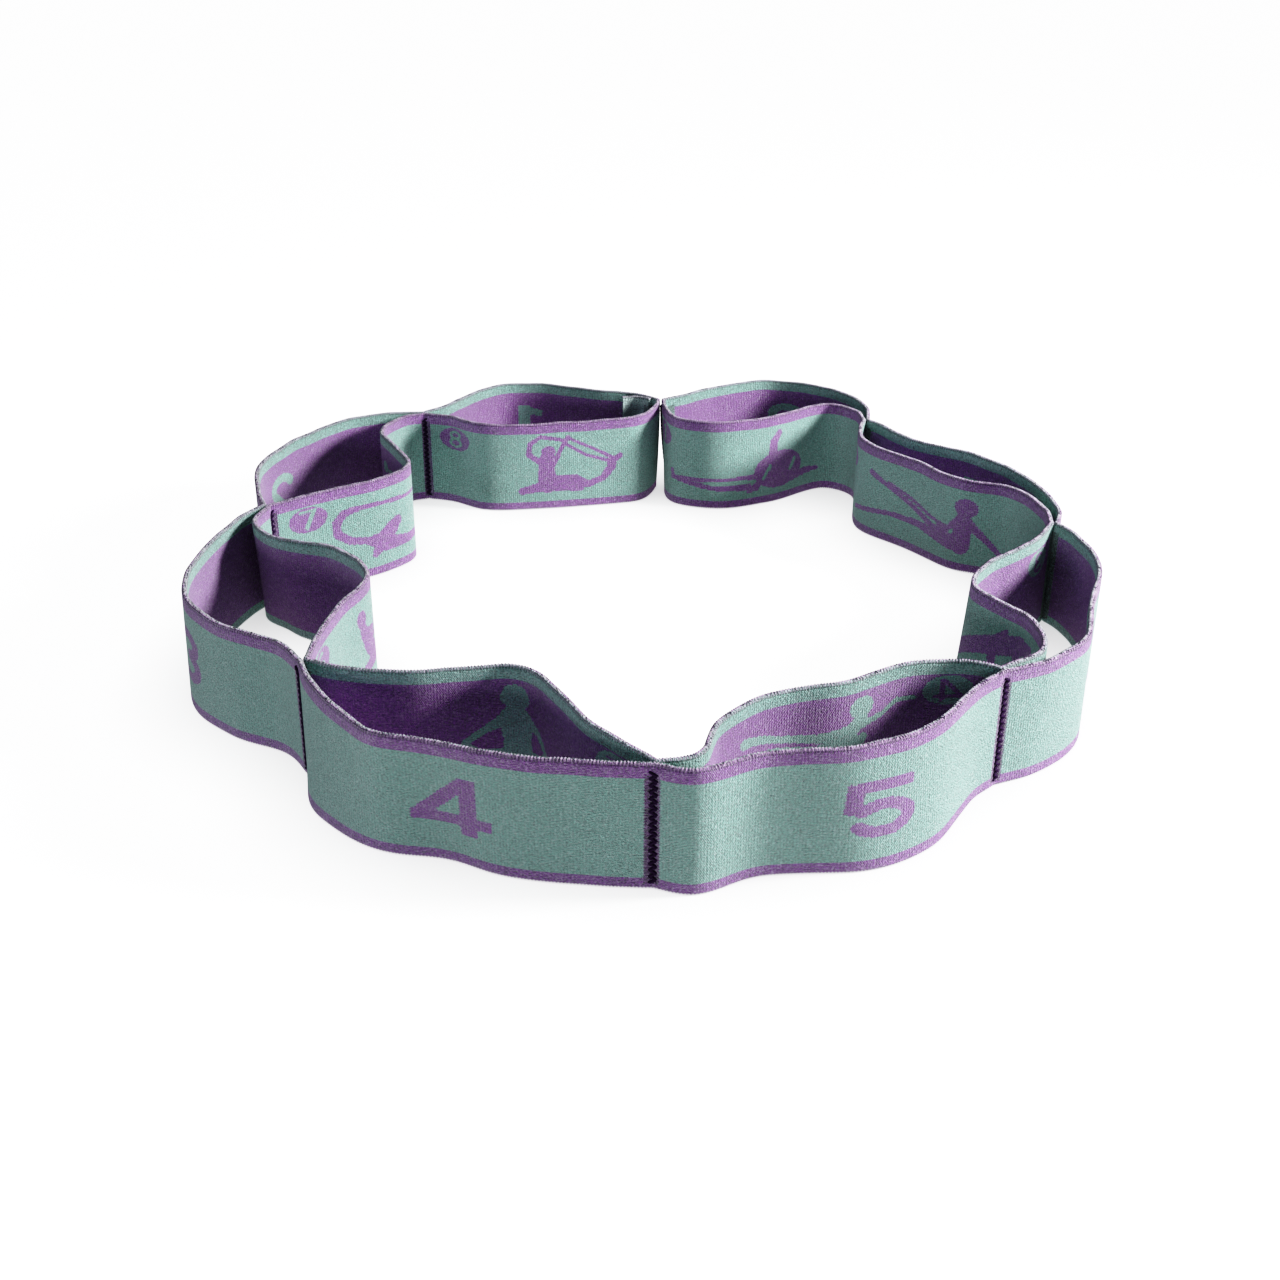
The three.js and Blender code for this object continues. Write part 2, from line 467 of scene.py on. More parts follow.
def stripe_places(web):
    """The arcs of the upright stripes: on every seam, and beside the fold at each end."""
    arcs = list(web.station_arcs[1:-1] / MM + STRIPE_SHIFT)
    first, last = web.station_arcs[0] / MM, web.station_arcs[-1] / MM
    arcs += [last - END_STITCH / MM, last + END_STITCH / MM]
    if web.name == "outer":
        arcs.append(first + END_STITCH / MM)
    return arcs


def woven_distance(web, s, z):
    """Distance outside all that is woven into a layer, in millimetres."""
    distance = np.full(np.broadcast(s, z).shape, 1e3)
    for place in stripe_places(web):
        middle = (STRIPE_LOW + STRIPE_HIGH) / 2
        past_side = np.abs(s - place) - STRIPE_WIDTH / 2
        past_end = np.abs(z - middle) - (STRIPE_HIGH - STRIPE_LOW) / 2
        distance = np.minimum(distance, np.maximum(past_side, past_end))
    for n in range(1, LOOPS + 1):
        first, last = web.station_arcs[n - 1] / MM, web.station_arcs[n] / MM
        here = (s[:, 0] > first) & (s[:, 0] < last)
        if here.any():
            distance[here] = np.minimum(distance[here], loop_distance(web, n, s[here], z[here]))
    return distance


def woven_field(web, s, z, reach=0.3):
    """The woven distance and how it grows along and up, for the shader to read cell by cell."""
    middle = woven_distance(web, s, z)
    along = (woven_distance(web, s + reach, z) - woven_distance(web, s - reach, z)) / (2 * reach)
    up = (woven_distance(web, s, z + reach) - woven_distance(web, s, z - reach)) / (2 * reach)
    return np.stack([np.clip(middle, -9, 9), np.clip(along, -1, 1), np.clip(up, -1, 1)], axis=-1)


# ---- web geometry ----------------------------------------------------------------------------

GROOVE_DEPTH = 0.42 * MM  # the stitching draws each seam in by this much on its shown face
GROOVE_REACH = 1.5 * MM
SWAY = 0.45 * MM  # slow leaning of the web from side to side
DROOP = 0.25 * MM  # slow rise and fall of its top edge
CALM_REACH = 8 * MM  # both fade out near the seams and the folded ends
SETTLED = (  # layer, loop, arc from the loop's start, reach, shift at the top and at the floor
    ("outer", 3, 60, 40, 1.2, 1.2),
    ("outer", 3, 75, 35, 0, 1.6),
    ("outer", 4, 22, 14, 0, 4.2),
    ("outer", 4, 40, 11, 0, 1.4),
    ("outer", 4, 54, 9, 1.8, 0),
    ("outer", 4, 74, 14, -0.6, -3.0),
    ("outer", 5, 80, 26, 0, 3.0),
    ("inner", 1, 65, 40, 0, 2.4),
    ("inner", 3, 32, 14, 0, -5.5),
    ("inner", 6, 62, 22, 0, -3.8),
    ("inner", 7, 60, 34, 0, 2.6),
)


def cross_section():
    """Offsets across the web and heights of the corners round it, starting low on the far side."""
    half = WEB_THICKNESS / 2
    low, high = RIM_RADIUS, WEB_WIDTH - RIM_RADIUS
    near_low = [low, low + EYELET_INSET]
    near_high = [high - EYELET_INSET, high]
    inner_low, inner_high = low + 2 * EYELET_INSET, high - 2 * EYELET_INSET
    rows = near_low + list(np.linspace(inner_low, inner_high, FACE_ROWS - 4)) + near_high
    angles = np.radians(RIM_ANGLES)
    across = [half * np.cos(a) for a in angles]
    rise = [RIM_RADIUS * np.sin(a) for a in angles]
    offsets = [half] * len(rows) + across + [-half] * len(rows) + [-a for a in across]
    heights = rows + [high + r for r in rise] + rows[::-1] + [low - r for r in rise]
    return np.array(offsets), np.array(heights)


SECTION_OFFSETS, SECTION_HEIGHTS = cross_section()
EYELET_UP = WEB_WIDTH - RIM_RADIUS - EYELET_INSET


def slow_wave(arcs, seed):
    """A gentle, repeatable unevenness between -1 and 1 along the web."""
    waves = [np.sin(2 * math.pi * arcs / (w * MM) + seed * 1.7 + w) for w in (61, 37, 23)]
    return sum(waves) / 3


def place(web, arcs, across, heights):
    """World positions of points given by their arc, offset across the web, and height."""
    centre, normal = web.at(arcs), web.normals(arcs)
    share = heights / WEB_WIDTH
    seed = 0 if web.name == "outer" else 3
    nearest = np.min([np.abs(arcs - station) for station in web.station_arcs], axis=0)
    free = np.clip((nearest - CALM_REACH) / CALM_REACH, 0, 1)
    across = across + SWAY * free * slow_wave(arcs, seed) * (share - 0.5)
    for layer, loop, along, reach, top, floor in SETTLED:
        if layer == web.name:
            distance = (arcs - web.station_arcs[loop - 1] - along * MM) / (reach * MM)
            across = across + MM * (floor + (top - floor) * share) * np.exp(-(distance**2))
    plan = centre + normal * across[..., None]
    for station, direction, at_floor in TIP_LEANS:
        distance = (arcs - web.station_arcs[station]) / TIP_LEAN_REACH
        eased = 1 - (1 - share) ** 2
        lean = np.exp(-(distance**2)) * (at_floor + (TIP_TOP_PUSH - at_floor) * eased)
        plan = plan + direction * HEADINGS[station] * lean[..., None]
    rise = heights + DROOP * free * slow_wave(arcs * 1.3, seed + 5) * share
    return np.concatenate([plan, rise[..., None]], axis=-1)


def groove(web, arcs, heights):
    """How far each seam's stitching draws in the web's teal face."""
    depth = np.zeros(np.broadcast(arcs, heights).shape)
    sewn = np.clip((heights - STRIPE_LOW * MM) / MM, 0, 1)
    sewn = sewn * np.clip((STRIPE_HIGH * MM - heights) / MM, 0, 1)
    for station in range(1, LOOPS):
        distance = (arcs - web.station_arcs[station]) / GROOVE_REACH
        depth = depth + GROOVE_DEPTH * np.exp(-(distance**2)) * sewn
    return depth


def web_corners(web, arcs, thickness, shift):
    """Corner positions of a length of web, one ring of corners for each column."""
    columns = arcs[:, None]
    flip = np.where(np.round(columns / COLUMN_STEP) % 2 == 0, 1, -1)
    offsets = np.tile(SECTION_OFFSETS, (len(arcs), 1)) * thickness / WEB_THICKNESS
    heights = np.tile(SECTION_HEIGHTS, (len(arcs), 1))
    eyelet = np.abs(heights - EYELET_UP) < 0.1 * MM
    offsets = offsets - np.sign(offsets) * EYELET_DEPTH * eyelet * (flip > 0)
    shown = offsets * web.outward > 0
    offsets = offsets - web.outward * shown * groove(web, columns, heights)
    heights = heights + PICOT_HEIGHT * flip * (heights > WEB_WIDTH - 0.7 * RIM_RADIUS)
    heights = heights - PICOT_HEIGHT * flip * (heights < 0.7 * RIM_RADIUS)
    return place(web, np.broadcast_to(columns, offsets.shape), offsets + shift(columns), heights)


def tube_faces(columns, ring):
    column, corner = np.meshgrid(np.arange(columns - 1), np.arange(ring), indexing="ij")
    following = (corner + 1) % ring
    near, far = column * ring, (column + 1) * ring
    quads = np.stack([near + corner, far + corner, far + following, near + following], axis=-1)
    return quads.reshape(-1, 4).tolist()


def with_ends(grid):
    """A grid's corners in one list, then those of its two end polygons once more."""
    return np.vstack([grid.reshape(-1, 3), grid[0], grid[-1]])


def tube_mesh(name, grids):
    """One closed mesh from grids of corners, each a tube with a flat polygon at both ends."""
    corners, faces, smooth, base = [], [], [], 0
    for grid in grids:
        columns, ring = grid.shape[:2]
        quads = tube_faces(columns, ring)
        first_cap = [columns * ring + i for i in range(ring)]
        last_cap = [(columns + 1) * ring + i for i in range(ring)][::-1]
        faces += [[base + i for i in face] for face in [*quads, first_cap, last_cap]]
        smooth += [True] * len(quads) + [False, False]
        corners.append(with_ends(grid))
        base += (columns + 2) * ring
    mesh = bpy.data.meshes.new(name)
    mesh.from_pydata(np.vstack(corners).tolist(), [], faces)
    mesh.polygons.foreach_set("use_smooth", smooth)
    mesh.update()
    piece = bpy.data.objects.new(name, mesh)
    bpy.context.scene.collection.objects.link(piece)
    return piece


def add_vectors(piece, name, values):
    attribute = piece.data.attributes.new(name, "FLOAT_VECTOR", "POINT")
    attribute.data.foreach_set("vector", with_ends(values).astype(np.float32).ravel())


def web_piece(name, web, start, end, thickness=WEB_THICKNESS, shift=np.zeros_like):
    """A closed length of web that knows where on the weave each of its corners lies."""
    arcs = np.arange(round(start / COLUMN_STEP), round(end / COLUMN_STEP) + 1) * COLUMN_STEP
    piece = tube_mesh(name, [web_corners(web, arcs, thickness, shift)])
    s = np.broadcast_to(arcs[:, None] / MM, (len(arcs), len(SECTION_HEIGHTS)))
    z = np.broadcast_to(SECTION_HEIGHTS / MM, s.shape)
    face = np.broadcast_to(web.outward * SECTION_OFFSETS / WEB_THICKNESS * 2, s.shape)
    add_vectors(piece, "weave_place", np.stack([s, z, face], axis=-1))
    add_vectors(piece, "weave_field", woven_field(web, s, z))
    from_stripe = np.min([np.abs(s - place) for place in stripe_places(web)], axis=0)
    add_vectors(piece, "stripe_distance", np.stack([from_stripe] * 3, axis=-1))
    return piece


# ---- stitching -------------------------------------------------------------------------------

THREAD_RADIUS = 0.46 * MM
STITCH_PITCH = 2.1 * MM
STITCH_SPREAD = 1.35 * MM  # the zigzag's corners lie this far to each side of the seam
STITCH_LOW, STITCH_HIGH = 1.9 * MM, 37.2 * MM
STITCH_STEPS = 6  # points along each half stitch
END_STITCH = 2.9 * MM  # from the fold's apex to the end seams' stitching


def swept_thread(line, radius, sides=6):
    """Rings of corners round a thread that follows a line of points."""
    tangent = np.gradient(line, axis=0)
    tangent /= np.linalg.norm(tangent, axis=1)[:, None]
    upright = np.array((0.31, 0.21, 0.93))
    sideways = np.cross(tangent, upright)
    sideways /= np.linalg.norm(sideways, axis=1)[:, None]
    other = np.cross(tangent, sideways)
    rings = []
    for k in range(sides):
        angle = 2 * math.pi * k / sides
        rings.append(line + radius * (math.cos(angle) * sideways + math.sin(angle) * other))
    return np.stack(rings, axis=1)


def zigzag_line(web, arc):
    """The shown thread of a zigzag seam, dipping into the web at each needle hole."""
    halves = round((STITCH_HIGH - STITCH_LOW) / (STITCH_PITCH / 2))
    t = np.arange(halves * STITCH_STEPS + 1) / STITCH_STEPS
    swing = 2 * np.abs((t + 1) % 2 - 1) - 1
    heights = STITCH_LOW + t * STITCH_PITCH / 2
    arcs = arc + STITCH_SPREAD * swing
    lift = THREAD_RADIUS * (0.75 - 1.6 * np.abs(swing) ** 5)
    surface = WEB_THICKNESS / 2 - groove(web, arcs, heights)
    return place(web, arcs, web.outward * (surface + lift), heights)


def stitching(name, places):
    """Zigzag threads at the given (layer, arc) places, as one piece."""
    grids = [swept_thread(zigzag_line(web, arc), THREAD_RADIUS) for web, arc in places]
    return tube_mesh(name, grids)


# ---- the turned-in end -----------------------------------------------------------------------

HEM_START, HEM_END = 3 * MM, 16.2 * MM  # arcs along the outer layer
HEM_SHIFT = -2.15 * MM  # inside the loop, clear of the outer layer
HEM_SPRING = -5.0 * MM  # its free end springs further in
HEM_THICKNESS = 1.3 * MM
FRAY_DEPTH = 0.6 * MM
FRAY_FIBRES = 46


def hem_shift(arcs):
    free = np.clip((arcs - HEM_START) / (HEM_END - HEM_START), 0, 1)
    return HEM_SHIFT + HEM_SPRING * free**1.5


def turned_in_end(rng):
    """The strap's own end, folded inside the first loop, with a frayed cut edge."""
    web = WEBS["outer"]
    hem = web_piece("turned_in_end_cloth", web, HEM_START, HEM_END, HEM_THICKNESS, hem_shift)
    fray = np.zeros((len(SECTION_HEIGHTS), 3))
    fibres = []
    tip, along = web.at(HEM_END), unit(web.at(HEM_END) - web.at(HEM_END - MM))
    fray[:, :2] = rng.uniform(-1, 0.4, len(fray))[:, None] * FRAY_DEPTH * along
    corners = np.array([v.co for v in hem.data.vertices])
    ring = len(SECTION_HEIGHTS)
    corners[-ring:] += fray
    corners[-2 * ring : -ring] += fray / 2
    hem.data.vertices.foreach_set("co", corners.ravel())
    hem.data.update()
    for _ in range(FRAY_FIBRES):
        reach = np.linspace(-0.3, rng.uniform(0.5, 1.8), 6) * MM
        curl = np.linspace(0, 1, 6) ** 2 * rng.uniform(-0.7, 0.7, (2, 1)) * MM
        height = rng.uniform(1.5, 38.5) * MM
        arcs = np.full(6, HEM_END)
        line = place(web, arcs, hem_shift(arcs) + curl[0], height + curl[1])
        line[:, :2] += reach[:, None] * along
        fibres.append(swept_thread(line, rng.uniform(0.05, 0.09) * MM, sides=5))
    return hem, tube_mesh("turned_in_end_fibres", fibres)


# ---- materials -------------------------------------------------------------------------------

TEAL = (0.272, 0.512, 0.455)
PURPLE = (0.305, 0.105, 0.410)
PALE_TEAL = (0.48, 0.66, 0.63)
PALE_FLECK = (0.72, 0.72, 0.74)
RIM_YARN_AND_HIGHLIGHT = (0.50, 0.36, 0.53)  # paler where both yarns turn over the edge, and a painted highlight: only the top edge gets it, as if lit from above
DARK_FLECK = (0.05, 0.05, 0.07)
THREAD_PURPLE = (0.026, 0.008, 0.04)
CELL_LENGTH, CELL_HEIGHT = 0.55, 0.5  # of one woven stitch, in millimetres
RIB_PITCH = 0.9
EYELET_PITCH = 2 * COLUMN_STEP / MM


class Shader:
    """A node material with short ways to write sums, masks and mixes."""

    def __init__(self, name, roughness, sheen):
        self.material = bpy.data.materials.new(name)
        self.material.use_nodes = True
        self.tree = self.material.node_tree
        self.surface = self.tree.nodes["Principled BSDF"]
        self.surface.inputs["Roughness"].default_value = roughness
        self.surface.inputs["Specular IOR Level"].default_value = 0.5
        self.surface.inputs["Sheen Weight"].default_value = sheen
        self.surface.inputs["Sheen Roughness"].default_value = 0.5

    def feed(self, socket, value):
        if isinstance(value, bpy.types.NodeSocket):
            self.tree.links.new(value, socket)
        elif isinstance(value, tuple) and socket.type == "RGBA":
            socket.default_value = (*value, 1)
        else:
            socket.default_value = value

    def calc(self, operation, *values):
        node = self.tree.nodes.new("ShaderNodeMath")
        node.operation = operation
        for socket, value in zip(node.inputs, values):
            self.feed(socket, value)
        return node.outputs[0]

    def add(self, a, b):
        return self.calc("ADD", a, b)

    def subtract(self, a, b):
        return self.calc("SUBTRACT", a, b)

    def times(self, a, b):
        return self.calc("MULTIPLY", a, b)

    def below(self, a, b):
        return self.calc("LESS_THAN", a, b)

    def above(self, a, b):
        return self.calc("GREATER_THAN", a, b)

    def wave(self, value, pitch):
        """A cosine of the value that is 1 at every whole pitch."""
        return self.calc("COSINE", self.times(value, 2 * math.pi / pitch))

    def mix(self, factor, a, b):
        node = self.tree.nodes.new("ShaderNodeMix")
        node.data_type = "RGBA"
        self.feed(node.inputs["Factor"], factor)
        self.feed(node.inputs[6], a)
        self.feed(node.inputs[7], b)
        return node.outputs[2]

    def attribute(self, name):
        """The three numbers of a vector stored on the mesh."""
        source = self.tree.nodes.new("ShaderNodeAttribute")
        source.attribute_name = name
        split = self.tree.nodes.new("ShaderNodeSeparateXYZ")
        self.feed(split.inputs[0], source.outputs["Vector"])
        return split.outputs[0], split.outputs[1], split.outputs[2]

    def vector(self, x, y, z=0.0):
        node = self.tree.nodes.new("ShaderNodeCombineXYZ")
        for socket, value in zip(node.inputs, (x, y, z)):
            self.feed(socket, value)
        return node.outputs[0]

    def white_noise(self, vector):
        node = self.tree.nodes.new("ShaderNodeTexWhiteNoise")
        node.noise_dimensions = "3D"
        self.feed(node.inputs["Vector"], vector)
        return node.outputs["Value"]

    def noise(self, vector, scale, detail=2):
        node = self.tree.nodes.new("ShaderNodeTexNoise")
        if vector is not None:
            self.feed(node.inputs["Vector"], vector)
        node.inputs["Scale"].default_value = scale
        node.inputs["Detail"].default_value = detail
        return node.outputs["Fac"]

    def place(self):
        return self.tree.nodes.new("ShaderNodeTexCoord").outputs["Object"]

    def brighten(self, colour, factor):
        node = self.tree.nodes.new("ShaderNodeVectorMath")
        node.operation = "SCALE"
        self.feed(node.inputs[0], colour)
        self.feed(node.inputs["Scale"], factor)
        return node.outputs[0]

    def raise_by(self, height, distance, strength=1.0):
        node = self.tree.nodes.new("ShaderNodeBump")
        node.inputs["Strength"].default_value = strength
        node.inputs["Distance"].default_value = distance
        self.feed(node.inputs["Height"], height)
        self.feed(self.surface.inputs["Normal"], node.outputs[0])

    def colour(self, colour):
        self.feed(self.surface.inputs["Base Color"], colour)


def weave_cells(shader, s, z):
    """The middle of the woven stitch a point lies in; every other row is half a stitch along."""
    row = shader.calc("FLOOR", shader.calc("DIVIDE", z, CELL_HEIGHT))
    stagger = shader.times(shader.calc("FLOORED_MODULO", row, 2), 0.5)
    column = shader.calc("FLOOR", shader.add(shader.calc("DIVIDE", s, CELL_LENGTH), stagger))
    middle_s = shader.times(shader.add(shader.subtract(column, stagger), 0.5), CELL_LENGTH)
    middle_z = shader.times(shader.add(row, 0.5), CELL_HEIGHT)
    return column, row, middle_s, middle_z


def jacquard(name, patterned=True, ground=TEAL):
    """Elastic web whose two yarns swap sides wherever something is woven in."""
    shader = Shader(name, roughness=0.55, sheen=0.5)
    s, z, face = shader.attribute("weave_place")
    distance, along, up = shader.attribute("weave_field")
    column, row, middle_s, middle_z = weave_cells(shader, s, z)
    from_s = shader.times(along, shader.subtract(middle_s, s))
    from_z = shader.times(up, shader.subtract(middle_z, z))
    woven = shader.below(shader.add(distance, shader.add(from_s, from_z)), 0)
    high = shader.above(middle_z, WEB_WIDTH / MM - TOP_BAND)
    low = shader.below(middle_z, BOTTOM_BAND)
    pattern = shader.calc("MAXIMUM", woven, shader.calc("MAXIMUM", high, low))
    swapped = shader.below(face, 0)
    purple = shader.calc("ABSOLUTE", shader.subtract(pattern, swapped))
    yarn = shader.mix(purple if patterned else 0.0, ground, PURPLE)

    cell = shader.vector(column, row, swapped)
    chance = shader.white_noise(cell)
    yarn = shader.mix(shader.times(shader.above(chance, 0.86), 0.18), yarn, PALE_FLECK)
    yarn = shader.mix(shader.times(shader.below(chance, 0.14), 0.16), yarn, DARK_FLECK)
    picot = shader.wave(s, EYELET_PITCH)
    # the top rim is paled, more on each thread loop's crest: partly both yarns showing where they turn over
    # the edge, partly a painted highlight on the top edge and its loops
    rim = shader.above(z, EYELET_UP / MM + 0.2)
    yarn = shader.mix(shader.times(rim, shader.add(0.5, shader.times(picot, 0.3))), yarn, RIM_YARN_AND_HIGHLIGHT)

    rib = shader.wave(s, RIB_PITCH)
    broad = shader.noise(shader.place(), 28)
    crimp = shader.noise(shader.vector(shader.times(s, 1.3), shader.times(z, 2.4), face), 1.0, 1)
    crimp = shader.times(shader.subtract(crimp, 0.5), 2)
    band = shader.calc("MAXIMUM", high, low)
    speckle = shader.add(0.22, shader.times(band, 0.3))
    shade = shader.add(1.04, shader.times(shader.subtract(chance, 0.5), speckle))
    # partly painted shade and highlight: crimp and ribs darken the colour in the hollows of the bump below
    # and lighten it on its crests, on top of the yarn's own random tone
    shade = shader.add(shade, shader.times(crimp, 0.75))
    shade = shader.add(shade, shader.times(rib, 0.07))
    shade = shader.add(shade, shader.times(shader.subtract(broad, 0.5), 0.16))
    # painted shade: the row of eyelet holes below the top edge is darkened in the colour, as shade inside
    # the holes; the same mask also sinks them in the bump
    near_hole = shader.calc("ABSOLUTE", shader.subtract(z, EYELET_UP / MM))
    hole = shader.times(shader.below(near_hole, 0.32), shader.below(picot, 0.1))
    shade = shader.times(shade, shader.subtract(1, shader.times(hole, 0.6)))
    # painted shade: the seam stripes are darkened in the colour, standing in for shade in the groove that
    # the stitching pulls in; how much varies from stitch to stitch
    from_stripe = shader.attribute("stripe_distance")[0]
    sewn = shader.times(shader.below(from_stripe, STRIPE_WIDTH / 2), woven)
    stripe_groove_shade = shader.add(0.8, shader.times(chance, -0.45))
    shade = shader.times(shade, shader.subtract(1, shader.times(sewn, stripe_groove_shade)))
    shader.colour(shader.brighten(yarn, shade))

    across = shader.wave(shader.subtract(s, middle_s), CELL_LENGTH)
    upright = shader.wave(shader.subtract(z, middle_z), CELL_HEIGHT)
    relief = shader.times(shader.add(1, across), shader.add(1, upright))
    relief = shader.add(relief, shader.times(crimp, 6))
    relief = shader.add(relief, shader.times(rib, 0.8))
    relief = shader.subtract(relief, shader.times(hole, 4))
    shader.raise_by(relief, 0.09 * MM, 1.0)
    return shader.material


def sewing_thread(name, colour):
    """Twisted thread: fine slanting strands, with painted shade in the hollows, where the strands' noise is
    low.
    """
    shader = Shader(name, roughness=0.85, sheen=0.0)
    shader.surface.inputs["Specular IOR Level"].default_value = 0.15
    strands = shader.noise(shader.place(), 2600, 3)
    # painted shade: the strands' noise darkens the colour where it also lowers the bump
    shader.colour(shader.brighten(colour, shader.add(0.6, shader.times(strands, 0.9))))
    shader.raise_by(strands, 0.12 * MM, 0.8)
    return shader.material


def loose_fibre(name, colour):
    shader = Shader(name, roughness=0.8, sheen=0.4)
    tone = shader.noise(shader.place(), 900, 1)
    shader.colour(shader.brighten(colour, shader.add(0.8, shader.times(tone, 0.5))))
    return shader.material


def paint(piece, material):
    piece.data.materials.append(material)


# ---- putting the strap together --------------------------------------------------------------


def build_loops(cloth):
    """The two long webs of each loop, which stretch between the loop's two halves."""
    for n in range(1, LOOPS + 1):
        for layer, web in WEBS.items():
            cut = web.cut_arc(n - 1, 1), web.cut_arc(n, -1)
            piece = web_piece(f"loop_{n}_{layer}_web", web, *cut)
            paint(piece, cloth)
            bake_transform(piece)
            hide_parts(f"{layer}_web_{n}a", f"{layer}_web_{n}b")


def build_seams(cloth, thread):
    """The sewn crossings between loops, which bend about each seam's axis."""
    for k in range(1, LOOPS):
        for layer, web in WEBS.items():
            cut = web.cut_arc(k, -1), web.cut_arc(k, 1)
            piece = web_piece(f"seam_{k}_{k + 1}_{layer}_web", web, *cut)
            paint(piece, cloth)
            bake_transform(piece)
        places = [(web, web.station_arcs[k]) for web in WEBS.values()]
        threads = stitching(f"seam_{k}_{k + 1}_zigzag", places)
        paint(threads, thread)
        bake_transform(threads)
        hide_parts(f"division_seam_{k}_{k + 1}")


def build_ends(cloth, thread, hem_cloth, fibre):
    """The folded ends of the strap with their stitching, and the end turned inside."""
    outer = WEBS["outer"]
    first, last = outer.station_arcs[0], outer.station_arcs[-1]
    for name, body, arc in (("first", "loop_1a", first), ("last", f"loop_{LOOPS}b", last)):
        fold = web_piece(f"folded_end_{name}", outer, arc - TIP_REACH, arc + TIP_REACH)
        paint(fold, cloth)
        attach(fold, body)
    places = {"first": [(outer, first + END_STITCH)]}
    places["last"] = [(outer, last - END_STITCH), (outer, last + END_STITCH)]
    for name, body in (("first", "loop_1a"), ("last", f"loop_{LOOPS}b")):
        threads = stitching(f"end_zigzag_{name}", places[name])
        paint(threads, thread)
        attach(threads, body)
        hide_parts(f"end_seam_{name}")
    hem, fibres = turned_in_end(np.random.default_rng(7))
    paint(hem, hem_cloth)
    paint(fibres, fibre)
    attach(hem, "loop_1a")
    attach(fibres, "loop_1a")
    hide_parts("turned_in_end")


# ---- studio ----------------------------------------------------------------------------------

CAMERA_PLACE = (-0.0033, -0.5338, 0.2527)
CAMERA_TILT = 63.85  # degrees from looking straight down
CAMERA_ROLL = 0.37
CAMERA_LENS = 43.76

HIGHEST_LIGHT = 2.0  # is shown as white
TONES = ((0.03, 0.015), (0.08, 0.063), (0.2, 0.2), (0.45, 0.46), (0.7, 0.66), (1.0, 0.81), (1.4, 0.92))


def build_camera():
    data = bpy.data.cameras.new("camera")
    data.lens = CAMERA_LENS
    data.sensor_width = 36
    data.clip_start = 0.01
    camera = bpy.data.objects.new("camera", data)
    tilt = Matrix.Rotation(math.radians(CAMERA_TILT), 4, "X")
    roll = Matrix.Rotation(math.radians(CAMERA_ROLL), 4, "Z")
    camera.matrix_world = Matrix.Translation(CAMERA_PLACE) @ tilt @ roll
    bpy.context.scene.collection.objects.link(camera)
    bpy.context.scene.camera = camera


def area_light(name, place, target, size, watts, colour=(1, 1, 1)):
    data = bpy.data.lights.new(name, "AREA")
    data.shape = "DISK"
    data.size = size
    data.energy = watts
    data.color = colour
    light = bpy.data.objects.new(name, data)
    light.location = place
    aim = Vector(target) - Vector(place)
    light.rotation_euler = aim.to_track_quat("-Z", "Y").to_euler()
    bpy.context.scene.collection.objects.link(light)


FLOOR_GLOW = 0.4  # the floor glows with this strength for every ray. The glow stands in for the light a lit floor would give back to the strap from all around


def build_floor():
    """A pale sweep of paper that glows as well as being lit: the camera sees it white, with soft painted
    shadows where ambient occlusion dims its glow near the strap.
    """
    reach, lowest = 14.0, CAD_LOW.z - 0.3 * MM
    corners = [(-reach, -reach), (reach, -reach), (reach, reach), (-reach, reach)]
    mesh = bpy.data.meshes.new("floor")
    mesh.from_pydata([(x, y, lowest) for x, y in corners], [], [(0, 1, 2, 3)])
    floor = bpy.data.objects.new("floor", mesh)
    bpy.context.scene.collection.objects.link(floor)
    shader = Shader("pale_floor", roughness=1.0, sheen=0)
    shader.colour((0.45, 0.45, 0.45))
    shader.surface.inputs["Specular IOR Level"].default_value = 0
    shader.feed(shader.surface.inputs["Emission Color"], (1, 1, 1))
    seen = shader.tree.nodes.new("ShaderNodeLightPath").outputs["Is Camera Ray"]
    # painted shadow: close to the strap, ambient occlusion dims the glow that the camera sees
    near = shader.tree.nodes.new("ShaderNodeAmbientOcclusion")
    near.inputs["Distance"].default_value = 0.035
    shown = shader.add(0.45 - FLOOR_GLOW, shader.times(near.outputs["AO"], 1.4))
    # painted light: the floor glows for every ray and lights the strap like a lamp, and glows brighter
    # still to the camera
    glow = shader.add(FLOOR_GLOW, shader.times(seen, shown))
    shader.feed(shader.surface.inputs["Emission Strength"], glow)
    shader.material.cycles.emission_sampling = "NONE"
    mesh.materials.append(shader.material)


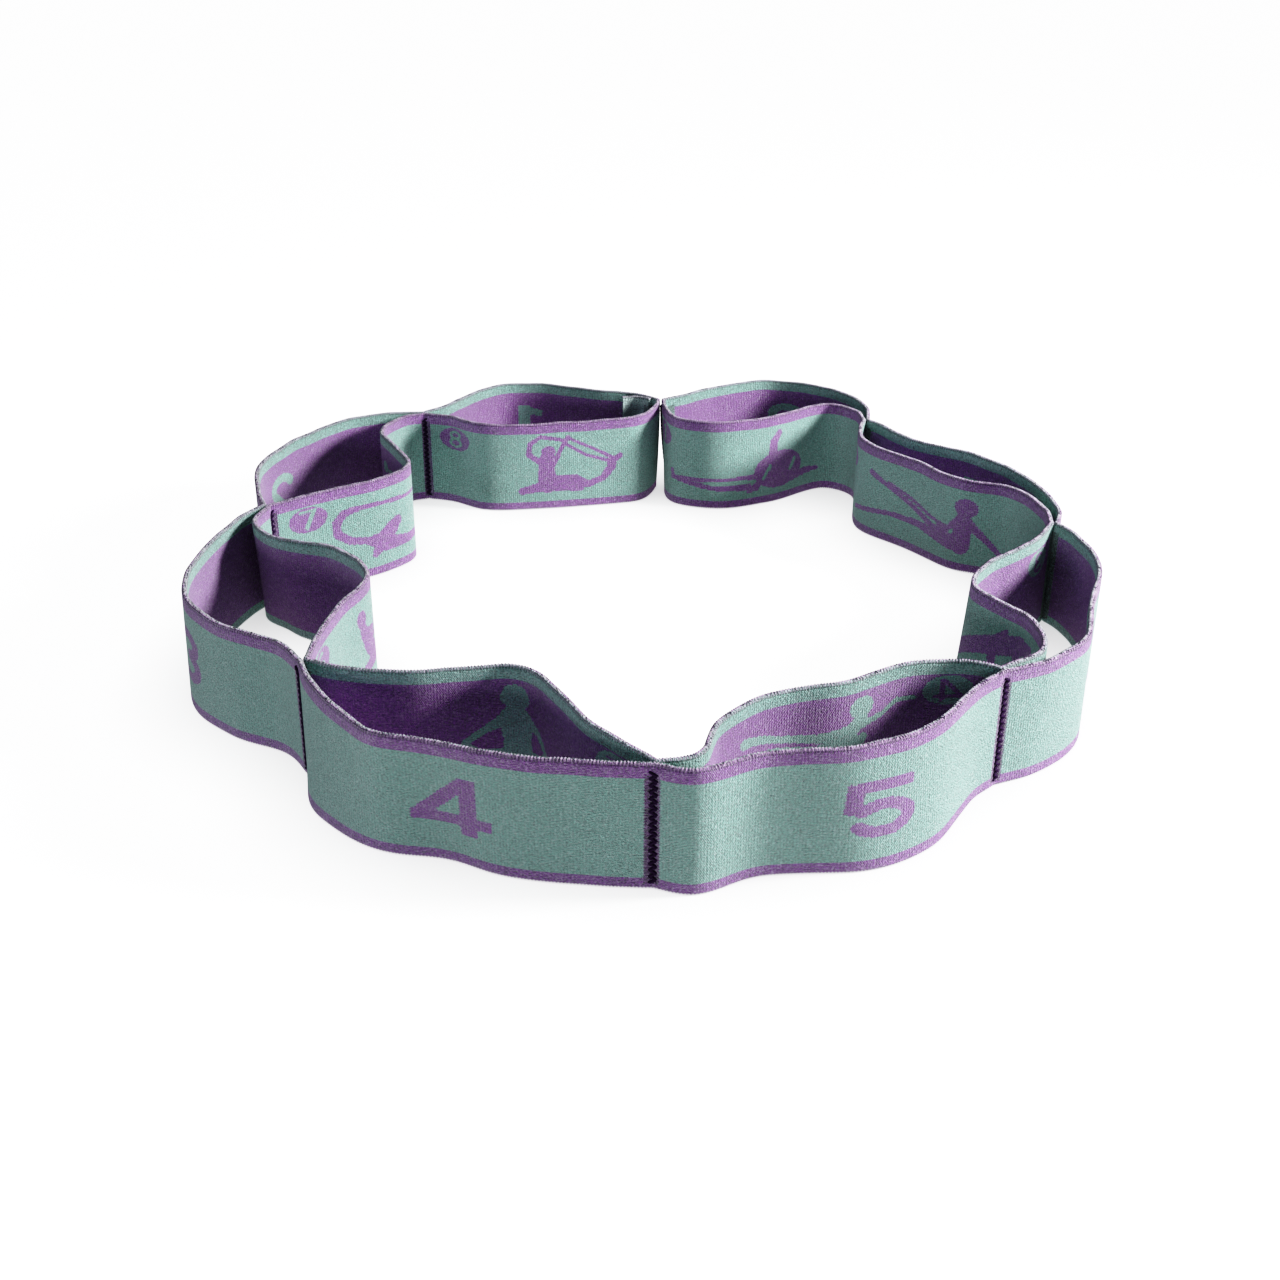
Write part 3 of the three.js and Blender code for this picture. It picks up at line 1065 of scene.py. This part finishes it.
def soften_highlights():
    """A gentle toe and shoulder: deep shadows, and bright cloth that pales instead of clipping."""
    view = bpy.context.scene.view_settings
    view.view_transform = "Standard"
    view.use_curve_mapping = True
    curves = view.curve_mapping
    curves.white_level = (HIGHEST_LIGHT, HIGHEST_LIGHT, HIGHEST_LIGHT)
    combined = curves.curves[3]
    for scene_light, shown in TONES:
        combined.points.new(scene_light / HIGHEST_LIGHT, shown)
    curves.update()


def build_surroundings():
    """A dim bluish studio that still looks white behind the strap."""
    world = bpy.data.worlds.new("studio")
    world.use_nodes = True
    tree = world.node_tree
    seen = tree.nodes.new("ShaderNodeLightPath").outputs["Is Camera Ray"]
    dim = tree.nodes["Background"]
    dim.inputs["Color"].default_value = (0.55, 0.72, 1, 1)
    dim.inputs["Strength"].default_value = 0.045
    white = tree.nodes.new("ShaderNodeBackground")
    white.inputs["Color"].default_value = (1, 1, 1, 1)
    white.inputs["Strength"].default_value = HIGHEST_LIGHT
    either = tree.nodes.new("ShaderNodeMixShader")
    tree.links.new(seen, either.inputs[0])
    tree.links.new(dim.outputs[0], either.inputs[1])
    tree.links.new(white.outputs[0], either.inputs[2])
    tree.links.new(either.outputs[0], tree.nodes["World Output"].inputs["Surface"])
    bpy.context.scene.world = world


def build_lights():
    area_light("key", (0.92, -0.06, 0.42), (0, -0.02, 0.02), 0.24, 23)
    area_light("front_fill", (-0.4, -1.17, 0.19), (0, 0, 0.02), 0.2, 3, (0.88, 0.95, 1))
    area_light("left_fill", (-1.2, 0.1, 0.21), (0, 0, 0.02), 0.2, 1.2, (0.75, 0.88, 1))
    build_surroundings()
    soften_highlights()


# ---- the scene -------------------------------------------------------------------------------

web_cloth = jacquard("jacquard_elastic_web")
seam_thread = sewing_thread("purple_sewing_thread", THREAD_PURPLE)
plain_cloth = jacquard("turned_in_web_cloth", patterned=False, ground=PALE_TEAL)
teal_fibre = loose_fibre("teal_loose_fibre", TEAL)

build_loops(web_cloth)
build_seams(web_cloth, seam_thread)
build_ends(web_cloth, seam_thread, plain_cloth, teal_fibre)
build_camera()
build_lights()
build_floor()
